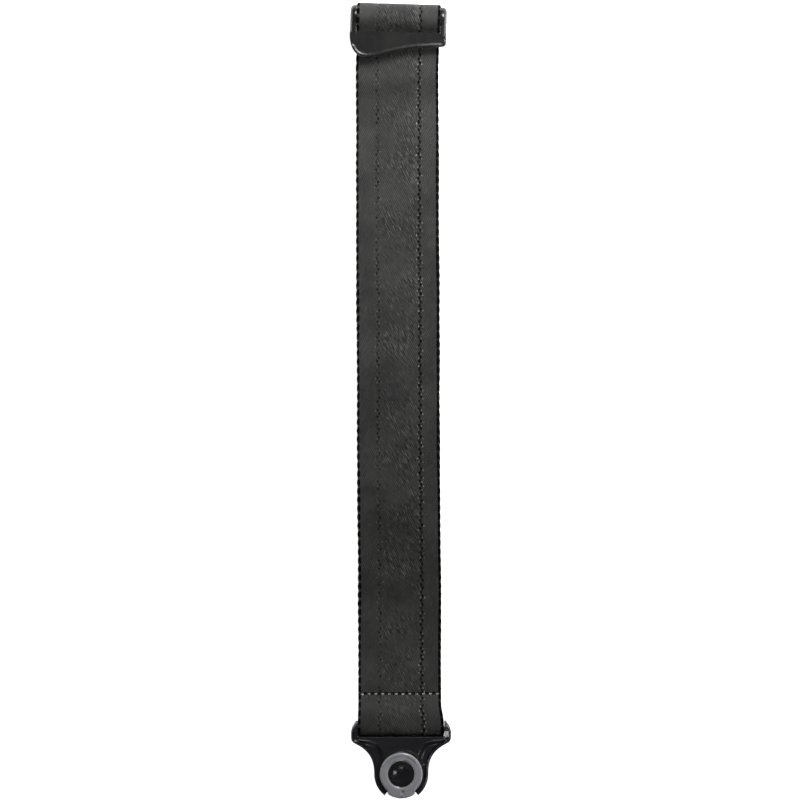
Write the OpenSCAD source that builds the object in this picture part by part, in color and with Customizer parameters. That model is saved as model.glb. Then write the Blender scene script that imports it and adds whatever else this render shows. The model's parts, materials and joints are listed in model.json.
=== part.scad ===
// Adjustable 50 mm guitar strap, folded in half at its slider and lying flat.
// X runs across the webbing, Y along it towards the slider, Z up from the ground.
// Each end piece snaps over a strap button and is let go by turning its ring.

/* [Webbing] */
// Width of the webbing
webbing_w = 50; // [49.6:0.1:50.2]
// Thickness of the webbing
webbing_t = 1.5; // [1.3:0.1:1.5]
// Free space between two runs of webbing that lie on each other
layer_gap = 0.2; // [0.15:0.05:0.3]
// How far the webbing sits to the left of the end pieces
webbing_offset = 0.7; // [0.5:0.1:0.8]

/* [Layout] */
// Height along Y of the release rings' centre, below the middle of the strap
ring_y = -224.3; // [-224.5:0.1:-220]
// Height along Y of the slider's centre bar
slider_y = 230.8; // [228:0.1:232]
// How far the slider is turned clockwise in the strap's plane, in degrees
slider_turn = 1.9; // [0:0.1:3]

/* [Slider] */
// Radius of the slider's centre bar
slider_bar_r = 4.7; // [4.5:0.1:4.8]
// Outer width of the slider over its cheeks
slider_w = 58.4; // [57.6:0.1:59.6]
// Thickness of the slider's face plate
plate_t = 2.3; // [2:0.1:2.6]
// How far the plate starts below the bar's axis
slot_drop = 9.1; // [8.8:0.1:9.4]

/* [End pieces] */
// Outer radius of the round part of the housing
housing_r = 16.3; // [16.2:0.1:17]
// Thickness of an end piece from its back to the front of its ring
end_t = 10.5; // [10.5:0.1:11]
// Half of the width over the ears
ear_x = 30.1; // [29.8:0.1:30.6]
// Inner face of an ear
ear_inner_x = 26; // [25.9:0.1:26.4]
// Distance from the ring's centre to the loop bar
bar_y = 26.5; // [26.5:0.1:27.5]
// Radius of the loop bar
bar_r = 2.2; // [1.8:0.1:2.2]

/* [Release mechanism] */
// Radius of the mouth that takes the strap button
mouth_r = 8; // [7.8:0.1:8]
// Outer radius of the release ring
ring_r = 12.9; // [12.7:0.1:12.9]
// How far the ring turns, in degrees
ring_turn = 30; // [25:1:30]
// How far each jaw slides
jaw_stroke = 2.75; // [2.5:0.05:2.75]

/* [Hidden] */
$fn = 96;
e = 0.01;

// Ends of the webbing's route
pitch = webbing_t + layer_gap;
bottom_z = webbing_t / 2;
middle_z = bottom_z + pitch;
top_z = middle_z + pitch;
over_z = top_z + pitch;
wrap_gap = 0.3;
end_gap = 0.3;
loop_r = bar_r + wrap_gap + webbing_t / 2;
bar_z = end_t / 2;
end_bar_y = ring_y + bar_y;
front_bar_z = end_t + end_gap + bar_z;
tear_slope = 10;
tear_len = 21.5;
tear_half = asin(loop_r / norm([tear_len, pitch / 2])) - atan(pitch / 2 / tear_len);
tail_past_stitch = 10.5;
rear_slope = 8;
sewn_r = slider_bar_r + wrap_gap + webbing_t / 2;
roll_r = sewn_r + pitch;
slider_z = roll_r + webbing_t / 2;
sewn_len = 14;
turn_y = 199;
wrap_steps = 20;
bend_steps = 10;

// Places in the slider, measured from its bar's axis
plate_low = 4.1;
cheek_r = 6.8;
cheek_inset = 0.15;

// Places in an end piece, measured from its back
plate_z = 1.6;
lead_in = 0.6;
jaw_z = 1.7;
jaw_t = 1.8;
cam_z = 3.6;
cam_t = 1.5;
floor_z = 6.1;
recess_z = 7.7;
front_z = 9.3;
ring_z = 7.8;
tab_z = 8;
ledge_z = 8.3;
cap_t = 1.3;
running = 0.08;
chamber_r = 13.5;
jaw_room_r = 14.8;
sector_r = 14.5;
skirt_r = 9.3;
skirt_bore_r = 8.3;
cap_r = 7.85;
ledge_r = 7.2;
tab_reach = 14.6;
tab_half = 8.2;
tip_angle = 38;
rim_r = 14.95;
step_angle = 74;
shell_top_y = bar_y - loop_r - webbing_t / 2 - wrap_gap;
pin_r = 1;
pin_x = 9.45;
cam_r = 13.7;
jaw_bore_r = 7.7;
jaw_r = 11.5;
jaw_half_y = 9;
guide_w = 1.2;
wire_r = 0.3;
spring_z = 5.6;
screw_places = [[-22, 18.4], [-8.5, 18.4], [8.5, 18.4], [22, 18.4]];
screw_head_r = 1.9;
screw_head_t = 1;
screw_shank_r = 0.9;
screw_tip_z = 6.4;

function on_circle(c, r, a) = c + r * [cos(a), sin(a)];
function arc(c, r, a0, a1, steps) = [for (i = [0:steps]) on_circle(c, r, a0 + (a1 - a0) * i / steps)];
function bezier(p, steps) = [
    for (i = [0:steps])
        let (t = i / steps, s = 1 - t)
            s * s * s * p[0] + 3 * s * s * t * p[1] + 3 * s * t * t * p[2] + t * t * t * p[3]
];
function heading(a) = [cos(a), sin(a)];

// Centre line of the webbing as [y, z], from the sewn tail at the front end piece to the sewn tail
// at the slider
front_bar = [end_bar_y, front_bar_z];
rear_bar = [end_bar_y, bar_z];
slider_bar = [slider_y, slider_z];
stitch = front_bar + tear_len * heading(-tear_slope);
stitch_up = stitch + pitch / 2 * heading(90 - tear_slope);
stitch_down = stitch - pitch / 2 * heading(90 - tear_slope);
fall_start = stitch_up + 12 * heading(-tear_slope);
sewn_p = [slider_y - sewn_len, top_z];
sewn_v = sewn_p - slider_bar;
ramp_angle = atan(-sewn_v[1] / sewn_len) + asin(sewn_r / norm(sewn_v));
over_y = slider_y - (roll_r - (over_z - slider_z) * cos(ramp_angle)) / sin(ramp_angle);
bend = 2.5;

front_loop = concat(
    [stitch_down + tail_past_stitch * heading(-tear_slope), stitch_down],
    arc(front_bar, loop_r, 270 - tear_slope + tear_half, 90, wrap_steps),
    bezier([
        front_bar + [1, loop_r],
        front_bar + [9.5, loop_r],
        stitch_up + [-7.5, 4.2],
        stitch_up - [0.8, -0.5],
    ], bend_steps),
    [stitch_up + [0.4, -0.1]]
);
top_run = concat(
    bezier([
        fall_start,
        fall_start + 16 * heading(-tear_slope),
        [fall_start[0] + 34, top_z],
        [fall_start[0] + 52, top_z],
    ], bend_steps),
    bezier([[181, top_z], [186, top_z], [190, over_z], [196, over_z]], bend_steps),
    bezier([
        [over_y - bend, over_z],
        [over_y, over_z],
        [over_y, over_z],
        [over_y, over_z] + bend * heading(ramp_angle),
    ], 5)
);
bottom_run = concat(
    arc(slider_bar, roll_r, 90 + ramp_angle, -90, 2 * wrap_steps),
    bezier([
        [end_bar_y + 20, bottom_z],
        [end_bar_y + 13, bottom_z],
        [end_bar_y + 7, bar_z - loop_r],
        [end_bar_y + 0.5, bar_z - loop_r],
    ], bend_steps),
    arc(rear_bar, loop_r, 270, 90 - rear_slope, wrap_steps)
);
middle_start = on_circle(rear_bar, loop_r, 90 - rear_slope) + 14 * heading(-rear_slope);
middle_run = bezier([
    middle_start,
    middle_start + 14 * heading(-rear_slope),
    [middle_start[0] + 30, middle_z],
    [middle_start[0] + 46, middle_z],
], bend_steps);
slider_loop = concat(
    arc(slider_bar, sewn_r, -90, 90 + ramp_angle, 2 * wrap_steps),
    bezier([
        sewn_p + 1.2 * bend * heading(ramp_angle),
        sewn_p,
        sewn_p,
        sewn_p - [bend, 0],
    ], 5),
    [[slider_y - sewn_len - 13, top_z]]
);
route = concat(front_loop, top_run, bottom_run, middle_run, slider_loop);

function side(path, d) = [
    for (i = [0:len(path) - 1])
        let (
            back = i == 0 ? path[1] - path[0] : path[i] - path[i - 1],
            ahead = i == len(path) - 1 ? back : path[i + 1] - path[i],
            u = back / norm(back),
            v = ahead / norm(ahead),
            m = (u + v) / norm(u + v)
        )
            path[i] + d / (m * u) * [-m[1], m[0]]
];
function reversed(path) = [for (i = [len(path) - 1:-1:0]) path[i]];

module across(w) {
    rotate([90, 0, 90])
        linear_extrude(height = w, center = true)
            children();
}

// Places p beside the strap's middle line, turned with the slider where it is past turn_y
function placed(p) =
    let (a = p[1] > turn_y ? -slider_turn : 0, v = [p[0], p[1] - turn_y])
        [v[0] * cos(a) - v[1] * sin(a) - webbing_offset, v[0] * sin(a) + v[1] * cos(a) + turn_y, p[2]];

module with_slider() {
    translate([-webbing_offset, turn_y, 0])
        rotate([0, 0, -slider_turn])
            translate([0, -turn_y, 0])
                children();
}

module webbing() {
    upper = side(route, webbing_t / 2);
    lower = side(route, -webbing_t / 2);
    n = len(route);
    half = webbing_w / 2;
    points = [
        for (i = [0:n - 1])
            for (c = [[-half, upper[i]], [half, upper[i]], [half, lower[i]], [-half, lower[i]]])
                placed([c[0], c[1][0], c[1][1]])
    ];
    walls = [
        for (i = [0:n - 2])
            for (k = [0:3])
                [4 * i + k, 4 * i + (k + 1) % 4, 4 * i + 4 + (k + 1) % 4, 4 * i + 4 + k]
    ];
    color("dimgray")
        polyhedron(points, concat([[3, 2, 1, 0]], walls, [[for (k = [0:3]) 4 * n - 4 + k]]), convexity = 10);
}

// A row of stitches through two runs of webbing, about the middle of the pair
module stitch_row(count, spacing) {
    thread_r = 0.35;
    reach = pitch / 2 + webbing_t / 2;
    stitch_l = spacing - 1;
    for (i = [0:count - 1])
        translate([(i - (count - 1) / 2) * spacing, 0, 0])
            union() {
                for (s = [-1, 1])
                    translate([-stitch_l / 2, 0, s * reach])
                        rotate([0, 90, 0])
                            cylinder(r = thread_r, h = stitch_l, $fn = 16);
                for (s = [-1, 1])
                    translate([s * (stitch_l / 2 - thread_r), 0, -reach])
                        cylinder(r = thread_r - 0.05, h = 2 * reach, $fn = 16);
            }
}

module front_end_stitching() {
    color("silver")
        translate([-webbing_offset, stitch[0], stitch[1]])
            rotate([-tear_slope, 0, 0])
                stitch_row(12, 4.1);
}

module slider_stitching() {
    color("silver")
        with_slider()
            translate([0, slider_y - sewn_len - 6, (middle_z + top_z) / 2])
                stitch_row(12, 4.1);
}

// The wave-edged face plate, drawn about the centre bar
module plate_outline() {
    half = slider_w / 2;
    left = bezier([[-half, -12.6], [-28.4, -21.1], [-24.5, -24.7], [-18.5, -24.7]], 10);
    wave = bezier([[-18.5, -24.7], [-9, -24.7], [0, -17.5], [25.9, -17.5]], 16);
    tip = bezier([[25.9, -17.5], [28, -17.4], [half, -16.6], [half, -14.6]], 6);
    polygon(concat([[-half, -slot_drop]], left, wave, tip, [[half, -slot_drop]]));
}

// Side of the slider as [y, z] about the centre bar
module cheek_outline() {
    top = plate_low + plate_t - 0.3;
    union() {
        circle(r = cheek_r);
        polygon([[-2, -6.2], [-11, 0.2], [-12.1, 2], [-12.4, top - 0.8], [-11.6, top], [-1.4, top]]);
    }
}

module slider_frame() {
    cheek_in = webbing_w / 2 + 0.3;
    color([0.17, 0.17, 0.17])
        with_slider()
            translate([0, slider_y, slider_z])
                union() {
                    translate([0, 0, plate_low])
                        linear_extrude(height = plate_t)
                            plate_outline();
                    rotate([0, 90, 0])
                        cylinder(r = slider_bar_r, h = 2 * cheek_in + 2, center = true);
                    for (s = [0, 1])
                        mirror([s, 0, 0])
                            translate([cheek_in, 0, 0])
                                rotate([90, 0, 90])
                                    linear_extrude(height = slider_w / 2 - cheek_inset - cheek_in)
                                        cheek_outline();
                }
}

// The shoulders and ears of an end piece, seen from the front, about the ring's centre
module shoulder_outline() {
    right = concat(
        [[housing_r - 0.6, -3]],
        bezier([[housing_r, 0.5], [housing_r + 0.1, 9.6], [19.8, 14.4], [27.4, 18.2]], 18),
        [
            [ear_x - 1.3, 19],
            [ear_x - 0.3, 20.2],
            [ear_x, 21.8],
            [ear_x, 25.4],
            [ear_x - 0.3, 27],
            [ear_x - 1, 28.8],
            [ear_x - 2, 30.3],
            [ear_x - 3.2, bar_y + bar_z + 1],
        ]
    );
    polygon(concat(right, [for (p = reversed(right)) [-p[0], p[1]]]));
}

// The round part, with its arms ended where the ring's tab comes between them
module round_outline() {
    difference() {
        circle(r = housing_r);
        difference() {
            polygon([[0, 0], 40 * heading(-90 - tip_angle), [0, -60], 40 * heading(-90 + tip_angle)]);
            circle(r = sector_r);
        }
    }
}

module end_outline() {
    union() {
        round_outline();
        shoulder_outline();
    }
}

// Side profile of an end piece as [y, z], with the round ends of the ears
module end_profile() {
    polygon(concat(
        [[-20, 0]],
        arc([bar_y, bar_z], bar_z, -90, 90, 32),
        [[bar_y - 12, front_z], [-20, front_z]]
    ));
}

module housing() {
    difference() {
        intersection() {
            linear_extrude(height = end_t)
                end_outline();
            across(4 * ear_x)
                end_profile();
        }
        // room for the back plate and for the webbing's loop
        translate([-2 * ear_x, -20, -1])
            cube([4 * ear_x, 20 + shell_top_y, plate_z + 1]);
        translate([-ear_inner_x, shell_top_y, -1])
            cube([2 * ear_inner_x, 40, end_t + 2]);
        // mechanism chamber, skirt bore and ring recess
        translate([0, 0, -1])
            cylinder(r = chamber_r, h = floor_z + 1);
        translate([0, 0, -1])
            intersection() {
                cylinder(r = jaw_room_r, h = cam_z + 1 - 0.05);
                translate([-20, -jaw_half_y - 0.5, 0])
                    cube([40, 2 * jaw_half_y + 1, 20]);
            }
        translate([0, 0, cam_z - 0.2])
            cylinder(r = cam_r + 0.15, h = cam_t + 0.4);
        cylinder(r = skirt_r + running, h = end_t);
        translate([0, 0, recess_z])
            cylinder(r = ring_r + running, h = end_t);
        // lowered step that the ring's tab passes over
        translate([0, 0, recess_z])
            intersection() {
                cylinder(r = rim_r, h = end_t);
                linear_extrude(height = end_t)
                    polygon([[0, 0], 50 * heading(-90 - step_angle), [0, -60], 50 * heading(-90 + step_angle)]);
            }
        for (p = screw_places)
            translate([p[0], p[1], 0])
                cylinder(r = screw_shank_r + 0.02, h = screw_tip_z + 0.3, $fn = 32);
        translate([0, bar_y, bar_z])
            rotate([0, 90, 0])
                cylinder(r = bar_r + 0.02, h = 2 * ear_x - 3.36, center = true);
    }
}

module back_plate() {
    guide_y = jaw_half_y + 0.1;
    difference() {
        linear_extrude(height = plate_z)
            intersection() {
                end_outline();
                translate([-2 * ear_x, -40])
                    square([4 * ear_x, 40 + shell_top_y]);
            }
        translate([0, 0, -1])
            cylinder(r = mouth_r, h = plate_z + 2);
        translate([0, 0, -e])
            cylinder(r1 = mouth_r + lead_in + e, r2 = mouth_r, h = lead_in + e);
        for (p = screw_places)
            translate([p[0], p[1], -1]) {
                cylinder(r = screw_shank_r + 0.1, h = plate_z + 2, $fn = 32);
                cylinder(r = screw_head_r + 0.1, h = 1 + screw_head_t + 0.1, $fn = 32);
            }
    }
    for (s = [-1, 1])
        translate([-8, s > 0 ? guide_y : -guide_y - guide_w, plate_z])
            cube([16, guide_w, jaw_t]);
}

module loop_bar() {
    translate([0, bar_y, bar_z])
        rotate([0, 90, 0])
            cylinder(r = bar_r, h = 2 * ear_x - 3.4, center = true);
}

module ring_tab() {
    corner_r = 2;
    intersection() {
        difference() {
            circle(r = tab_reach);
            circle(r = ring_r - 0.5);
        }
        union() {
            translate([-tab_half + corner_r, -20])
                square([2 * tab_half - 2 * corner_r, 20]);
            translate([-tab_half, -13])
                square([2 * tab_half, 13]);
        }
        translate([-20, -20])
            square([40, 14]);
    }
}

module release_ring() {
    difference() {
        union() {
            translate([0, 0, ring_z])
                cylinder(r = ring_r, h = end_t - ring_z);
            translate([0, 0, cam_z + cam_t])
                cylinder(r = skirt_r, h = ring_z - cam_z - cam_t + e);
            translate([0, 0, tab_z])
                linear_extrude(height = end_t - tab_z)
                    ring_tab();
        }
        translate([0, 0, ledge_z])
            cylinder(r = cap_r + 0.05, h = end_t);
        translate([0, 0, ring_z - e])
            cylinder(r = ledge_r, h = end_t);
        translate([0, 0, -1])
            cylinder(r = skirt_bore_r, h = ring_z + 1);
    }
}

module ring_cap() {
    translate([0, 0, ledge_z])
        cylinder(r = cap_r, h = cap_t);
}

// Radius of a jaw's pin when the ring has turned by a
function pin_path_r(a) = pin_x + jaw_stroke * a / ring_turn;

// A slot in which the pin is driven outwards as the disc turns
module cam_slot() {
    slot_r = pin_r + 0.08;
    steps = 8;
    inner = [for (i = [0:steps]) let (a = ring_turn * i / steps) on_circle([0, 0], pin_path_r(a), -a)];
    polygon(concat(side(inner, slot_r), reversed(side(inner, -slot_r))));
    for (p = [inner[0], inner[steps]])
        translate(p)
            circle(r = slot_r, $fn = 32);
}

module cam_disc() {
    translate([0, 0, cam_z])
        linear_extrude(height = cam_t)
            difference() {
                circle(r = cam_r);
                circle(r = skirt_bore_r);
                for (a = [0, 180])
                    rotate(a)
                        cam_slot();
            }
}

// The jaw on the +X side, closed
module jaw() {
    translate([0, 0, jaw_z])
        linear_extrude(height = jaw_t)
            difference() {
                intersection() {
                    circle(r = jaw_r);
                    translate([0.15, -jaw_half_y])
                        square([jaw_r, 2 * jaw_half_y]);
                }
                translate([-jaw_stroke, 0])
                    circle(r = jaw_bore_r);
            }
    translate([pin_x, 0, jaw_z + jaw_t - e])
        cylinder(r = pin_r, h = cam_z + cam_t - jaw_z - jaw_t - 0.1, $fn = 32);
}

// Flat coil of half turns that step outwards
module return_spring() {
    first_r = 10.3;
    step_r = 0.8;
    for (i = [0:3])
        translate([i % 2 == 0 ? 0 : -step_r / 2, 0, spring_z])
            rotate([0, 0, 180 * i])
                rotate_extrude(angle = 180)
                    translate([first_r + step_r / 2 * i, 0])
                        circle(r = wire_r, $fn = 16);
}

module screws() {
    for (p = screw_places)
        translate([p[0], p[1], 0])
            difference() {
                union() {
                    translate([0, 0, 0.1])
                        cylinder(r = screw_head_r, h = screw_head_t, $fn = 32);
                    cylinder(r = screw_shank_r, h = screw_tip_z, $fn = 32);
                }
                for (a = [0, 90])
                    rotate([0, 0, a])
                        translate([-1.1, -0.2, -1])
                            cube([2.2, 0.4, 1.6]);
            }
}

module at_front() {
    translate([0, ring_y, end_t + end_gap])
        children();
}

module at_rear() {
    translate([0, ring_y, end_t])
        rotate([0, 180, 0])
            children();
}

module end_part(name) {
    shell = [0.13, 0.13, 0.14];
    if (name == "housing") color(shell) housing();
    if (name == "back_plate") color([0.2, 0.2, 0.21]) back_plate();
    if (name == "loop_bar") color("silver") loop_bar();
    if (name == "release_ring") color([0.45, 0.45, 0.48]) release_ring();
    if (name == "ring_cap") color([0.1, 0.1, 0.1]) ring_cap();
    if (name == "cam_disc") color("ivory") cam_disc();
    if (name == "left_jaw") color("lightsteelblue") mirror([1, 0, 0]) mirror([0, 1, 0]) jaw();
    if (name == "right_jaw") color("lightsteelblue") jaw();
    if (name == "return_spring") color("gold") return_spring();
    if (name == "screws") color("gainsboro") screws();
}

END_PARTS = [
    "housing",
    "back_plate",
    "loop_bar",
    "release_ring",
    "ring_cap",
    "cam_disc",
    "left_jaw",
    "right_jaw",
    "return_spring",
    "screws",
];

webbing();
front_end_stitching();
slider_stitching();
slider_frame();
for (part = END_PARTS) {
    at_front() end_part(part);
    at_rear() end_part(part);
}
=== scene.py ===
import json
import math

import bpy
import numpy as np
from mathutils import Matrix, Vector
from mathutils.geometry import delaunay_2d_cdt


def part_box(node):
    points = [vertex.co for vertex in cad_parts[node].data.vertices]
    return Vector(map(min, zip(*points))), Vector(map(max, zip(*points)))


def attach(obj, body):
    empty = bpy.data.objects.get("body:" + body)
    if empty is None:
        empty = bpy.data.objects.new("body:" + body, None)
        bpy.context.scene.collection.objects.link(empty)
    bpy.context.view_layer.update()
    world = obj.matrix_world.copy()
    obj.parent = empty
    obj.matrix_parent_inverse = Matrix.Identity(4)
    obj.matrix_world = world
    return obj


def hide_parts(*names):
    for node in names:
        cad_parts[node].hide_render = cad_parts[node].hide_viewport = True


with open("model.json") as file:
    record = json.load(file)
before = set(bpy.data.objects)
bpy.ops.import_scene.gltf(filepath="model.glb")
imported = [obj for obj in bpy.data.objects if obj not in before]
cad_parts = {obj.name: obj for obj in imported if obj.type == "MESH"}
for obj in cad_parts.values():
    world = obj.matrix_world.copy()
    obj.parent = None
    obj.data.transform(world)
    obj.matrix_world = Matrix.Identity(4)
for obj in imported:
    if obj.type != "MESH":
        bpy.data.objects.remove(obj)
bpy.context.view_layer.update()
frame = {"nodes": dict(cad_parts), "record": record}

MM = 0.001
RNG = np.random.default_rng(7)

# Places and sizes shared with the CAD model, in mm
JOINTS = {j["name"]: j for j in frame["record"]["behaviour"]["joints"]}
RING_Y = JOINTS["front_ring_turn"]["pos_m"][1] / MM
BAR_Y = JOINTS["front_end_swing"]["pos_m"][1] / MM
FRONT_BAR_Z = JOINTS["front_end_swing"]["pos_m"][2] / MM
REAR_BAR_Z = JOINTS["rear_end_swing"]["pos_m"][2] / MM
SLIDER_Z = JOINTS["slider_tilt"]["pos_m"][2] / MM
# The webbing sits a little to the left of the end pieces, and turns with the slider past TURN_Y
OFFSET = 0.7
TURN_Y = 199.0
TURN = math.radians(1.9)
SLIDER_Y = TURN_Y + (JOINTS["slider_tilt"]["pos_m"][1] / MM - TURN_Y) / math.cos(TURN)
# Thickness of an end piece, and the height of the front one's back
END_T = 10.5
FRONT_BACK_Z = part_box("front_back_plate")[0][2] / MM
# The webbing's width and thickness, the space between two runs, and the loop bar and the space round it
WEB_W = 50.0
WEB_T = 1.5
LAYER_GAP = 0.2
BAR_R = 2.2
WRAP_GAP = 0.3


# ---------------------------------------------------------------- shapes

def smooth(t):
    """0 below 0, 1 above 1, and a soft step between."""
    t = np.clip(t, 0.0, 1.0)
    return t * t * (3 - 2 * t)


def circle(r, a0=0.0, a1=360.0, n=96, centre=(0.0, 0.0), closed=True):
    """A circle's points, or with closed=False an arc's with both its ends."""
    a = np.radians(np.linspace(a0, a1, n, endpoint=not closed))
    return np.stack([centre[0] + r * np.cos(a), centre[1] + r * np.sin(a)], 1)


def bezier(p, n):
    """A cubic curve of n steps through its four control points."""
    p = np.asarray(p, float)
    t = np.linspace(0, 1, n + 1)[:, None]
    s = 1 - t
    return s**3 * p[0] + 3 * s * s * t * p[1] + 3 * s * t * t * p[2] + t**3 * p[3]


def dense(loop, step, closed=True):
    """The same line with no stretch longer than step."""
    loop = np.asarray(loop, float)
    out = []
    n = len(loop)
    for i in range(n if closed else n - 1):
        a, b = loop[i], loop[(i + 1) % n]
        k = max(1, int(math.ceil(np.linalg.norm(b - a) / step)))
        out.extend(a + (b - a) * j / k for j in range(k))
    if not closed:
        out.append(loop[-1])
    return np.array(out)


def rounded(loop, r, n=6):
    """The outline with its corners of more than 25 degrees rounded to radius r."""
    out = []
    m = len(loop)
    for i in range(m):
        a, b, c = loop[i - 1], loop[i], loop[(i + 1) % m]
        u, v = (a - b) / np.linalg.norm(a - b), (c - b) / np.linalg.norm(c - b)
        ang = math.acos(float(np.clip(u @ v, -1, 1)))
        if math.pi - ang < math.radians(25):
            out.append(b)
            continue
        cut = min(r / math.tan(ang / 2), 0.45 * np.linalg.norm(a - b), 0.45 * np.linalg.norm(c - b))
        p, q = b + u * cut, b + v * cut
        for t in np.linspace(0, 1, n + 1):
            out.append((1 - t) ** 2 * p + 2 * t * (1 - t) * b + t * t * q)
    return np.array(out)


def inset(loop, d):
    """The counter-clockwise outline moved inwards by d."""
    ahead = np.roll(loop, -1, 0) - loop
    ahead /= np.linalg.norm(ahead, axis=1)[:, None]
    back = np.roll(ahead, 1, 0)
    m = ahead + back
    m /= np.maximum(np.linalg.norm(m, axis=1), 1e-6)[:, None]
    k = np.maximum((m * ahead).sum(1), 0.5)
    return loop + np.stack([-m[:, 1], m[:, 0]], 1) * (d / k)[:, None]


def inside(p, loop):
    """True for the points that are inside the loop."""
    x, y = p[:, 0][:, None], p[:, 1][:, None]
    a, b = loop, np.roll(loop, -1, 0)
    up = (a[:, 1] > y) != (b[:, 1] > y)
    dy = np.where(np.abs(b[:, 1] - a[:, 1]) < 1e-12, 1e-12, b[:, 1] - a[:, 1])
    cross = x < (b[:, 0] - a[:, 0]) * (y - a[:, 1]) / dy + a[:, 0]
    return (up & cross).sum(1) % 2 == 1


def distance(p, line, closed=True):
    """How far each point is from the line, worked out in batches."""
    a = line if closed else line[:-1]
    b = np.roll(line, -1, 0) if closed else line[1:]
    out = np.full(len(p), 1e9)
    batch = 4000
    for s in range(0, len(p), batch):
        q = p[s:s + batch, None, :]
        ab = (b - a)[None]
        t = ((q - a) * ab).sum(2) / np.maximum((ab * ab).sum(2), 1e-12)
        t = np.clip(t, 0, 1)[..., None]
        out[s:s + batch] = np.sqrt((((a + t * ab) - q) ** 2).sum(2).min(1))
    return out


def field(outline, holes, lines, top, bottom, step):
    """A closed solid between two heights, which are functions of (points, distance to the outline).

    The mesh follows the outline, the holes and the extra loops in lines.
    """
    loops = [outline, *holes, *lines]
    pts, edges = [], []
    for k, lp in enumerate(loops):
        start = len(pts)
        pts.extend(lp)
        n = len(lp)
        edges.extend((start + i, start + (i + 1) % n) for i in range(n))
    lo, hi = outline.min(0), outline.max(0)
    rows = np.arange(lo[1], hi[1], step * 0.87)
    grid = []
    for i, y in enumerate(rows):
        xs = np.arange(lo[0] + (i % 2) * step / 2, hi[0], step)
        grid.append(np.stack([xs, np.full_like(xs, y)], 1))
    grid = np.concatenate(grid)
    keep = inside(grid, outline)
    for h in holes:
        keep &= ~inside(grid, h)
    grid = grid[keep]
    near = np.full(len(grid), 1e9)
    for lp in loops:
        near = np.minimum(near, distance(grid, lp))
    pts.extend(grid[near > 0.35 * step])
    made = delaunay_2d_cdt([Vector(p) for p in pts], edges, [], 0, 1e-5)
    xy = np.array([[v.x, v.y] for v in made[0]])
    tri = np.array([list(f) for f in made[2] if len(f) == 3])
    mid = xy[tri].mean(1)
    keep = inside(mid, outline)
    for h in holes:
        keep &= ~inside(mid, h)
    a, b, c = (xy[tri[:, i]] for i in range(3))
    area = (b[:, 0] - a[:, 0]) * (c[:, 1] - a[:, 1]) - (b[:, 1] - a[:, 1]) * (c[:, 0] - a[:, 0])
    tri = tri[keep & (np.abs(area) > 1e-9)]
    area = area[keep & (np.abs(area) > 1e-9)]
    tri = np.where((area < 0)[:, None], tri[:, ::-1], tri)
    used, tri = np.unique(tri, return_inverse=True)
    xy, tri = xy[used], tri.reshape(-1, 3)
    d = distance(xy, outline)
    zt, zb = top(xy, d), bottom(xy, d)
    n = len(xy)
    directed = {(int(t[i]), int(t[(i + 1) % 3])) for t in tri for i in range(3)}
    walls = [(p, p + n, q + n, q) for p, q in sorted(directed) if (q, p) not in directed]
    verts = np.concatenate([np.column_stack([xy, zt]), np.column_stack([xy, zb])])
    upper = [tuple(t) for t in tri.tolist()]
    lower = [tuple(x + n for x in reversed(t)) for t in upper]
    return verts, upper + lower + walls


def lathe(profile, n=96):
    """A closed solid turned about Z from [r, z] points that start and end on the axis."""
    a = np.radians(np.arange(n) * 360 / n)
    rings = profile[1:-1]
    verts = [[0, 0, profile[0][1]]]
    for r, z in rings:
        verts.extend(np.column_stack([r * np.cos(a), r * np.sin(a), np.full(n, z)]))
    verts.append([0, 0, profile[-1][1]])
    faces = [(0, 1 + i, 1 + (i + 1) % n) for i in range(n)]
    for k in range(len(rings) - 1):
        s = 1 + k * n
        faces += [(s + i, s + n + i, s + n + (i + 1) % n, s + (i + 1) % n) for i in range(n)]
    s = 1 + (len(rings) - 1) * n
    faces += [(s + i, len(verts) - 1, s + (i + 1) % n) for i in range(n)]
    return np.array(verts, float), faces


def tube(path, r, sides=8):
    """A round tube with closed ends along 3-D points. r is one radius or one a point."""
    path = np.asarray(path, float)
    r = np.broadcast_to(r, len(path))
    t = np.gradient(path, axis=0)
    t /= np.linalg.norm(t, axis=1)[:, None]
    ref = np.array([0.3, 0.2, 0.93])
    u = np.cross(t, ref)
    u /= np.linalg.norm(u, axis=1)[:, None]
    v = np.cross(t, u)
    a = np.arange(sides) * 2 * math.pi / sides
    ring = u[:, None] * np.cos(a)[:, None] + v[:, None] * np.sin(a)[:, None]
    verts = (path[:, None] + ring * r[:, None, None]).reshape(-1, 3)
    faces = []
    for i in range(len(path) - 1):
        for k in range(sides):
            p, q = i * sides + k, i * sides + (k + 1) % sides
            faces.append((p, q, q + sides, p + sides))
    faces.append(tuple(reversed(range(sides))))
    faces.append(tuple(len(verts) - sides + k for k in range(sides)))
    return verts, faces


def together(parts):
    """Several (points, faces) pairs as one."""
    verts, faces = [], []
    for v, f in parts:
        k = sum(len(x) for x in verts)
        verts.append(v)
        faces += [tuple(i + k for i in face) for face in f]
    return np.concatenate(verts), faces


def piece(name, verts, faces, body, slot, stands_for, sharp=35.0, uv=None):
    """A mesh in mm as a named piece that rides on a body and stands for CAD nodes."""
    me = bpy.data.meshes.new(name)
    me.from_pydata((np.asarray(verts) * MM).tolist(), [], faces)
    me.update()
    me.polygons.foreach_set("use_smooth", [True] * len(me.polygons))
    if sharp:
        me.set_sharp_from_angle(angle=math.radians(sharp))
    if uv is not None:
        layer = me.uv_layers.new(name="weave")
        index = np.zeros(len(me.loops), np.int32)
        me.loops.foreach_get("vertex_index", index)
        layer.data.foreach_set("uv", uv[index].astype(np.float32).ravel())
    ob = bpy.data.objects.new(name, me)
    bpy.context.scene.collection.objects.link(ob)
    me.materials.append(MATS[slot])
    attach(ob, body)
    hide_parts(*stands_for)
    return ob


# ---------------------------------------------------------------- route of the webbing

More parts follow.
